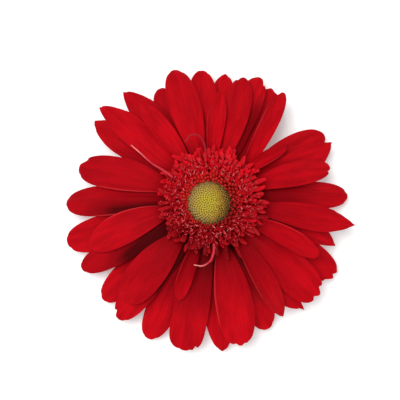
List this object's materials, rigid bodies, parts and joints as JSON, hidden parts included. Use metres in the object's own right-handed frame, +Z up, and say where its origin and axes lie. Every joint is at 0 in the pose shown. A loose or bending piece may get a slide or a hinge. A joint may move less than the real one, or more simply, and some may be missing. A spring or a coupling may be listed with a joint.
{
  "type": "cut gerbera flower head",
  "caption": "Fully open daisy-like flower head with layered strap-shaped ray florets round a crowded disc, on a short cut stalk; stands face up as a decoration.",
  "frame": {"origin": "on the surface that the cut stalk stands on, under the middle of the flower's bounding box", "axes": "+Z up through the disc, out of the flower's face; +X and +Y in the plane of the open flower"},
  "size_m": [0.1102, 0.1088, 0.0305],
  "materials": {
    "stalk_green": "satin",
    "bract_green": "matte",
    "ray_red": "matte",
    "floret_red": "satin",
    "thread_pink": "satin",
    "bud_yellow": "matte"
  },
  "bodies": {
    "root": {"fringe_florets": "floret_red", "inner_bract_row": "bract_green", "inner_ray_floret_01": "ray_red", "inner_ray_floret_02": "ray_red", "inner_ray_floret_03": "ray_red", "inner_ray_floret_04": "ray_red", "inner_ray_floret_05": "ray_red", "inner_ray_floret_06": "ray_red", "inner_ray_floret_07": "ray_red", "inner_ray_floret_08": "ray_red", "inner_ray_floret_09": "ray_red", "inner_ray_floret_10": "ray_red", "inner_ray_floret_11": "ray_red", "inner_ray_floret_12": "ray_red", "inner_ray_floret_13": "ray_red", "inner_ray_floret_14": "ray_red", "middle_bract_row": "bract_green", "middle_ray_floret_01": "ray_red", "middle_ray_floret_02": "ray_red", "middle_ray_floret_03": "ray_red", "middle_ray_floret_04": "ray_red", "middle_ray_floret_05": "ray_red", "middle_ray_floret_06": "ray_red", "middle_ray_floret_07": "ray_red", "middle_ray_floret_08": "ray_red", "middle_ray_floret_09": "ray_red", "middle_ray_floret_10": "ray_red", "open_disc_florets": "floret_red", "outer_bract_row": "bract_green", "outer_ray_floret_01": "ray_red", "outer_ray_floret_02": "ray_red", "outer_ray_floret_03": "ray_red", "outer_ray_floret_04": "ray_red", "outer_ray_floret_05": "ray_red", "outer_ray_floret_06": "ray_red", "outer_ray_floret_07": "ray_red", "outer_ray_floret_08": "ray_red", "outer_ray_floret_09": "ray_red", "outer_ray_floret_10": "ray_red", "outer_ray_floret_11": "ray_red", "outer_ray_floret_12": "ray_red", "short_ray_floret_01": "ray_red", "short_ray_floret_02": "ray_red", "short_ray_floret_03": "ray_red", "stalk_and_receptacle": "stalk_green", "thread_floret_1": "thread_pink", "thread_floret_2": "thread_pink", "thread_floret_3": "thread_pink", "trans_florets": "floret_red", "unopened_disc_florets": "bud_yellow"}
  },
  "joints": []
}
